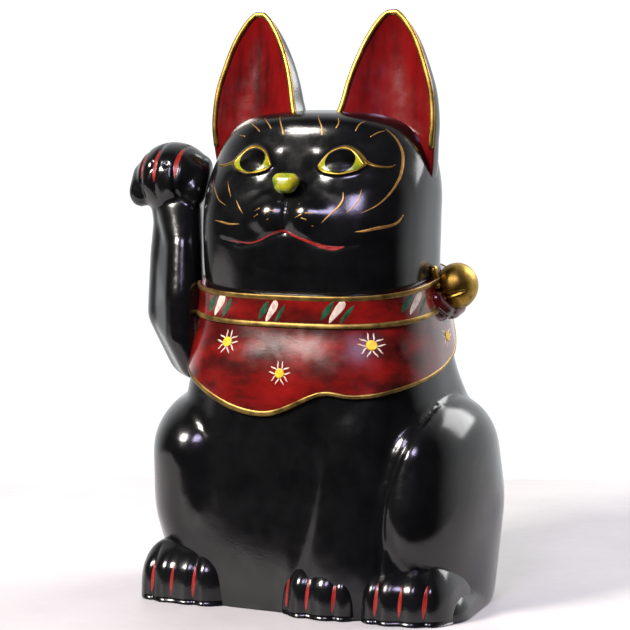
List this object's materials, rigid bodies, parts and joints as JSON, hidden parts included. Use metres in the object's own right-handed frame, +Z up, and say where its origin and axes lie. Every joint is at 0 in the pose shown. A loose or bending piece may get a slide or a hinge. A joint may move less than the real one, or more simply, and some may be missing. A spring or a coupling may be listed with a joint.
{
  "type": "beckoning cat figurine",
  "caption": "Seated hollow clay cat with one raised paw, a collar with a side bell and a scalloped bib; stands on its flat base as an ornament.",
  "frame": {"origin": "where the parting plane of the two shells meets the middle plane of the body, on the floor", "axes": "+Z up, -Y the way the cat faces, +X the cat's left, where the bell hangs"},
  "size_m": [0.1702, 0.1143, 0.2599],
  "materials": {
    "front_shell": "fired clay painted semi-gloss black",
    "back_shell": "fired clay painted semi-gloss black",
    "base_plate": "fired clay painted matt black",
    "left_ear": "fired clay, red inside, gold rim, black behind",
    "right_ear": "fired clay, red inside, gold rim, black behind",
    "raised_arm": "fired clay painted semi-gloss black, red claws",
    "planted_paw": "fired clay painted semi-gloss black, red claws",
    "left_hind_foot": "fired clay painted semi-gloss black, red claws",
    "right_hind_foot": "fired clay painted semi-gloss black, red claws",
    "tail": "fired clay painted semi-gloss black",
    "nose": "fired clay painted yellow-green",
    "bib": "fired clay painted mottled glossy red, gold edge",
    "collar": "fired clay painted glossy red, gold edges, green and white marks",
    "collar_knot": "fired clay painted glossy red",
    "bell": "fired clay painted bronze gold"
  },
  "bodies": {
    "root": {"front_shell": "front_shell", "back_shell": "back_shell", "base_plate": "base_plate", "left_ear": "left_ear", "right_ear": "right_ear", "raised_arm": "raised_arm", "planted_paw": "planted_paw", "left_hind_foot": "left_hind_foot", "right_hind_foot": "right_hind_foot", "tail": "tail", "nose": "nose", "bib": "bib", "collar": "collar", "collar_knot": "collar_knot", "bell": "bell"}
  },
  "joints": []
}
